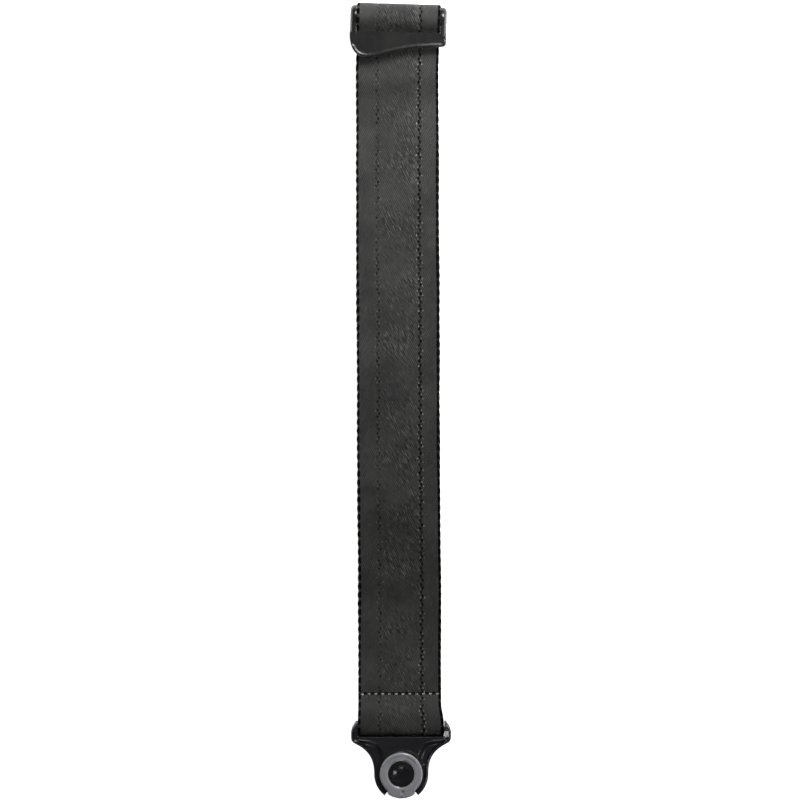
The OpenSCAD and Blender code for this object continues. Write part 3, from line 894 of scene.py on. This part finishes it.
def slider():
    """Face plate, two cheeks and bar, turned into place."""
    right, f = cheek()
    parts = [plate(), (right, f), (right * [-1, 1, 1], [tuple(reversed(q)) for q in f])]
    r, half_bar = SEWN_R - WEB_T / 2 - WRAP_GAP, 26
    v, f = lathe([[0, half_bar], [r, half_bar], [r, -half_bar], [0, -half_bar]], 72)
    parts.append((np.stack([v[:, 2], v[:, 1], -v[:, 0]], 1), f))
    v, f = together(parts)
    c, s = math.cos(-TURN), math.sin(-TURN)
    y = v[:, 1] + SLIDER_Y - TURN_Y
    x = v[:, 0] * c - y * s - OFFSET
    y = v[:, 0] * s + y * c + TURN_Y
    return np.stack([x, y, v[:, 2] + SLIDER_Z], 1), f


piece("slider_body", *slider(), "slider", "slider_black", ("slider_frame",))


# ---------------------------------------------------------------- end pieces

# In mm about the release ring's centre, with Z up from the end piece's back
HOUSE_R = 16.3
EAR_X = 30.1
EAR_IN = 26.0
EAR_TOP = 31.7
# Where the loop bar's axis is
LOOP_Y = round(BAR_Y - RING_Y, 6)
LOOP_Z = END_T / 2
SHELL_Y = LOOP_Y - LOOP_R - WEB_T / 2 - WRAP_GAP
# How much nearer to the webbing's fold the visible shell's edge is
LIP = 0.24
# Angles in degrees from straight down: the housing's lower tips, the notches and the step of the rim
TIP = 38.0
NOTCH = 33.2
STEP = 74.0
NOTCH_R = 13.7
SECTOR_R = 14.5
RIM_R = 14.95
# Heights of the plate and of the housing's inside, and the rooms in it
PLATE_Z = 1.6
CHAMBER_R = 13.5
CHAMBER_TOP = 6.1
JAW_ROOM_R = 14.8
JAW_ROOM_TOP = 3.55
RECESS_R = 12.98
RECESS_Z = 7.7
FRONT_Z = 9.3
# The release ring: its skirt goes down through the housing, and its ledge holds the cap
RING_R = 12.9
SKIRT_R = 9.3
SKIRT_BORE = 8.3
HOUSING_BORE = 9.38
LEDGE_R = 7.2
LEDGE_Z = 8.3
TAB_HALF = 8.2
TAB_REACH = 14.6
# The mouth, the ribs beside the jaws and the screws of the back plate
MOUTH_R = 8.0
RIB_Y = (9.1, 10.3)
RIB_Z = 3.4
SCREWS = [(-22, 18.4), (-8.5, 18.4), (8.5, 18.4), (22, 18.4)]
SCREW_SINK_R = 2.12
SCREW_SINK_Z = 1.15


def flank_side():
    """Right side of the outline, from the round part's end beside the tab up to the ear."""
    lower = circle(HOUSE_R, -90 + TIP, 1.2, 44, closed=False)
    curve = bezier([[HOUSE_R, 0.5], [HOUSE_R + 0.1, 9.6], [19.8, 14.4], [27.4, 18.2]], 40)
    ear = np.array([
        [EAR_X - 1.3, 19.0], [EAR_X - 0.3, 20.2], [EAR_X, 21.8], [EAR_X, 25.4],
        [EAR_X - 0.3, 27.0], [EAR_X - 1.0, 28.8], [EAR_X - 2.0, 30.3], [EAR_X - 3.0, EAR_TOP],
    ])
    return lower, curve, ear


def mirrored(p):
    """Points of the right side as the left side's, in the order that goes on round the outline."""
    return (np.asarray(p) * [-1, 1])[::-1]


def end_outline(with_ears):
    """Outline of the housing with its ears, or of the back plate, which ends at the shell's edge."""
    lower, curve, ear = flank_side()
    if with_ears:
        right = np.concatenate([lower, curve, ear, [[EAR_IN, EAR_TOP], [EAR_IN, SHELL_Y + LIP]]])
    else:
        right = np.concatenate([lower, curve, ear[ear[:, 1] < SHELL_Y], [[EAR_X, SHELL_Y]]])
    sector = np.concatenate([
        circle(NOTCH_R, -90 - TIP, -90 - NOTCH, 4, closed=False),
        circle(SECTOR_R, -90 - NOTCH, -90 + NOTCH, 36, closed=False),
        circle(NOTCH_R, -90 + NOTCH, -90 + TIP, 4, closed=False),
    ])
    loop = np.concatenate([sector, right, mirrored(right)])
    keep = np.linalg.norm(loop - np.roll(loop, 1, 0), axis=1) > 1e-3
    return dense(loop[keep], 0.7)


def outer_side(loop):
    """The housing's outline without the ears' inner faces and the shell's edge between them."""
    return loop[(np.abs(loop[:, 0]) >= EAR_IN + 0.6) | (loop[:, 1] <= SHELL_Y - 0.3)]


def from_down(p):
    """Angle in degrees from straight down, either way."""
    return np.degrees(np.abs(np.arctan2(p[:, 0], -p[:, 1])))


def band(x0, x1, y0, y1, step):
    """A rectangle for the mesh to follow, so that a step in height is sharp."""
    return dense(np.array([[x0, y0], [x1, y0], [x1, y1], [x0, y1]]), step)


def housing():
    """The moulded shell: two ears on the loop bar, a scooped front, and the rooms of the mechanism."""
    outline = end_outline(True)
    outer = outer_side(outline)
    shoulder = bezier([[9.6, 9.9], [10.3, 13.5], [11.6, 17.2], [15.2, 19.4]], 24)
    shoulder = np.concatenate([shoulder, [[19.0, 20.6], [26.0, 21.4]]])
    plateau = np.concatenate([shoulder, [[26.0, 40.0], [-26.0, 40.0]], mirrored(shoulder)])

    def top(p, d):
        x, y = p[:, 0], p[:, 1]
        r = np.hypot(x, y)
        base = FRONT_Z + np.clip((y - (LOOP_Y - 12)) / 12, 0, 1) * (END_T - FRONT_Z)
        over = np.clip(y - LOOP_Y, 0, LOOP_Z)
        base = np.where(y > LOOP_Y, LOOP_Z + np.sqrt(LOOP_Z * LOOP_Z - over * over), base)
        out = ~inside(p, plateau)
        dp = np.where(out, distance(p, plateau), 0)
        scoop = 1.9 * smooth(dp / 3.4) * smooth((d - 1.45) / 0.9) * smooth((22.6 - y) / 3.0)
        collar = 0.42 * smooth((r - RING_R) / 0.5) * smooth((15.3 - r) / 1.2)
        collar = collar * smooth((from_down(p) - 108) / 8)
        parting = 0.28 * np.exp(-(((y - LOOP_Y) / 0.28) ** 2)) + 0.22 * smooth((y - LOOP_Y) / 0.3)
        parting = np.where(y > LOOP_Y - 2, parting, 0)
        tilt = 1.25 * np.clip((np.abs(x) - 25.6) / 4.4, 0, 1) * smooth((y - 15) / 5)
        edge = 0.85 * fillet(distance(p, outer), 1.5)
        edge = np.where((np.abs(x) < EAR_IN - 0.2) & (y > 20), 0.8 * fillet(d, 0.6), edge)
        z = base - scoop + collar - parting - tilt - edge
        low = smooth((RECESS_R + 0.14 - r) / 0.14)
        sector = (from_down(p) < STEP) & (r < RIM_R + 0.1)
        low = np.where(sector, np.maximum(low, smooth((RIM_R + 0.1 - r) / 0.12)), low)
        return z * (1 - low) + RECESS_Z * low

    def bottom(p, d):
        x, y = p[:, 0], p[:, 1]
        r = np.hypot(x, y)
        over = np.clip(y - LOOP_Y, 0, LOOP_Z)
        ear = LOOP_Z - np.sqrt(LOOP_Z * LOOP_Z - over * over) + fillet(d, 0.8)
        z = np.where(y > SHELL_Y + LIP + 0.02, ear, PLATE_Z + 0.02)
        chamber = smooth((CHAMBER_R + 0.08 - r) / 0.08)
        z = z * (1 - chamber) + CHAMBER_TOP * chamber
        room = (np.abs(y) < 9.5) & (r < JAW_ROOM_R) & (r >= CHAMBER_R)
        return np.where(room, JAW_ROOM_TOP, z)

    rim = [circle(r, -90 - STEP, -90 + STEP, 90, closed=False) for r in (RIM_R - 0.02, RIM_R + 0.1)]
    lines = [circle(r, n=160) for r in (RECESS_R + 0.02, RECESS_R + 0.14, CHAMBER_R, CHAMBER_R + 0.08)]
    lines.append(np.concatenate([rim[0], rim[1][::-1]]))
    lines += [inset(outline, k) for k in (0.05, 0.15, 0.32, 0.6, 1.0, 1.5)]
    for a, b in ((-EAR_X, -EAR_IN), (EAR_IN, EAR_X)):
        lines.append(band(a, b, LOOP_Y - 0.35, LOOP_Y + 0.35, 0.6))
        lines.append(band(a, b, SHELL_Y + LIP + 0.01, SHELL_Y + LIP + 0.05, 0.7))
    return field(outline, [circle(HOUSING_BORE, n=120)], lines, top, bottom, 0.5)


def back_plate():
    """The plate with the mouth, a rib beside each jaw, and four countersunk screw holes."""
    outline = end_outline(False)
    holes = [circle(MOUTH_R, n=120)] + [circle(1.0, n=28, centre=c) for c in SCREWS]
    rib_half = 8.0

    def top(p, _):
        x, y = np.abs(p[:, 0]), np.abs(p[:, 1])
        rib = (x < rib_half) & (y > RIB_Y[0]) & (y < RIB_Y[1])
        return np.where(rib, RIB_Z, PLATE_Z)

    def bottom(p, d):
        r = np.hypot(p[:, 0], p[:, 1])
        z = fillet(d, 0.5) + 0.6 * smooth((MOUTH_R + 0.62 - r) / 0.62)
        panel = 0.3 * smooth((r - 10.6) / 0.25) * smooth((d - 1.7) / 0.25)
        for c in SCREWS:
            q = np.hypot(p[:, 0] - c[0], p[:, 1] - c[1])
            sink = smooth((SCREW_SINK_R - q) / 0.1)
            panel = panel * (1 - smooth((3.3 - q) / 0.3))
            z = z * (1 - sink) + SCREW_SINK_Z * sink
        return z + panel

    lines = [circle(r, n=120) for r in (MOUTH_R + 0.15, MOUTH_R + 0.35, MOUTH_R + 0.62, 10.6, 10.85)]
    lines += [circle(r, n=32, centre=c) for c in SCREWS for r in (2.02, SCREW_SINK_R, 3.0, 3.3)]
    lines += [inset(outline, k) for k in (0.06, 0.2, 0.5, 1.7, 1.95)]
    for s in (-1, 1):
        for g in (0.0, 0.04):
            y0, y1 = sorted((s * (RIB_Y[0] - g), s * (RIB_Y[1] + g)))
            lines.append(band(-rib_half - g, rib_half + g, y0, y1, 1.0))
    return field(outline, holes, lines, top, bottom, 0.9)


def release_ring():
    """The grey ring with its thumb tab, its ledge for the cap and its skirt."""
    a = math.degrees(math.asin((TAB_HALF - 1.1) / TAB_REACH))
    tab = circle(TAB_REACH, -90 - a, -90 + a, 24, closed=False)
    neck = math.degrees(math.asin(TAB_HALF / RING_R))
    body = circle(RING_R, -90 + neck, 270 - neck, 150, closed=False)
    outline = np.concatenate([tab, [[TAB_HALF, -11.6]], body, [[-TAB_HALF, -11.6]]])
    outline = dense(rounded(outline, 0.7), 0.6)
    dot = (0.66, -10.7)
    front_z, lip_h = 10.05, 0.45

    def top(p, d):
        x, y = p[:, 0], p[:, 1]
        r = np.hypot(x, y)
        ang = np.degrees(np.arctan2(y, x))
        # a raised lip over the upper part, a chamfer outside and a cone inside
        lip = smooth((r - 11.0) / 0.3) * smooth((ang - 33) / 2.5) * smooth((158 - ang) / 2.5)
        z = front_z + lip_h * lip - 0.45 * fillet(d, 0.5) - 0.45 * np.clip(0.95 - d, 0, 0.95)
        z = z - 0.5 * np.clip(8.95 - r, 0, 1.05)
        # a dimple and a notch on the tab, and the tab a little lower than the ring
        z = z - 0.9 * smooth(1.4 - np.hypot(x - dot[0], y - dot[1]) / 0.9)
        z = z - 1.9 * smooth(1.4 - np.abs(x - 0.4) / 0.8) * smooth((-12.9 - y) / 0.3)
        z = z - 0.1 * smooth((-12.2 - y) / 0.5)
        low = smooth((7.95 - r) / 0.07)
        return z * (1 - low) + LEDGE_Z * low

    def bottom(p, _):
        r = np.hypot(p[:, 0], p[:, 1])
        skirt = (r > SKIRT_BORE) & (r < SKIRT_R)
        return np.where(skirt, 5.12, np.where(r > RING_R + 0.05, 8.0, 7.8))

    inner = (7.5, 7.88, 7.95, 8.15, SKIRT_BORE - 0.01, SKIRT_BORE + 0.03, 8.6, 8.95)
    outer = (SKIRT_R - 0.03, SKIRT_R + 0.03, 11.1, 11.25, 11.45)
    lines = [circle(r, n=132) for r in inner + outer]
    lines += [inset(outline, k) for k in (0.05, 0.15, 0.32, 0.55, 0.9)]
    lines += [circle(r, n=26, centre=dot) for r in (0.35, 0.7, 1.0, 1.27)]
    return field(outline, [circle(LEDGE_R, n=110)], lines, top, bottom, 0.45)


def cap():
    """A dished disc with a soft rim."""
    dish = [[float(r), 8.62 + 0.9 * float(smooth((r - 1.6) / 4.6))] for r in np.linspace(0, 7.1, 30)]
    rim = [[7.3, 9.52], [7.5, 9.56], [7.68, 9.5], [7.8, 9.36], [7.85, 9.1]]
    base = [[7.85, LEDGE_Z + 0.1], [7.75, LEDGE_Z + 0.01], [0, LEDGE_Z + 0.01]]
    return lathe(dish + rim + base, 96)


def at_front(v):
    return v + np.array([0, RING_Y, FRONT_BACK_Z])


def at_rear(v):
    """The rear end piece lies face down on the ground, under the front one."""
    return v * np.array([-1, 1, -1]) + np.array([0, RING_Y, END_T])


# Pieces that replace their CAD nodes, with the body and the material of each
SOLIDS = {
    "housing": (housing(), "end", "shell_black"),
    "back_plate": (back_plate(), "end", "back_black"),
    "release_ring": (release_ring(), "ring", "ring_grey"),
    "ring_cap": (cap(), "ring", "cap_black"),
}
# CAD nodes that stay, with the material and the rounding in mm of each
KEPT = {
    "loop_bar": ("bar_steel", 0.25),
    "cam_disc": ("cam_white", 0.12),
    "left_jaw": ("jaw_steel", 0.12),
    "right_jaw": ("jaw_steel", 0.12),
    "return_spring": ("spring_steel", 0),
    "screws": ("screw_steel", 0.08),
}
for where, move in (("front", at_front), ("rear", at_rear)):
    for name, ((v, f), body, slot) in SOLIDS.items():
        piece(f"{where}_{name}_piece", move(v), f, f"{where}_{body}", slot, (f"{where}_{name}",))
    for name, (slot, width) in KEPT.items():
        ob = frame["nodes"][f"{where}_{name}"]
        ob.data.materials.clear()
        ob.data.materials.append(MATS[slot])
        if width:
            mod = ob.modifiers.new("soft_edge", "BEVEL")
            mod.width = width * MM
            mod.segments = 2
            mod.limit_method = "ANGLE"
            mod.angle_limit = math.radians(35)
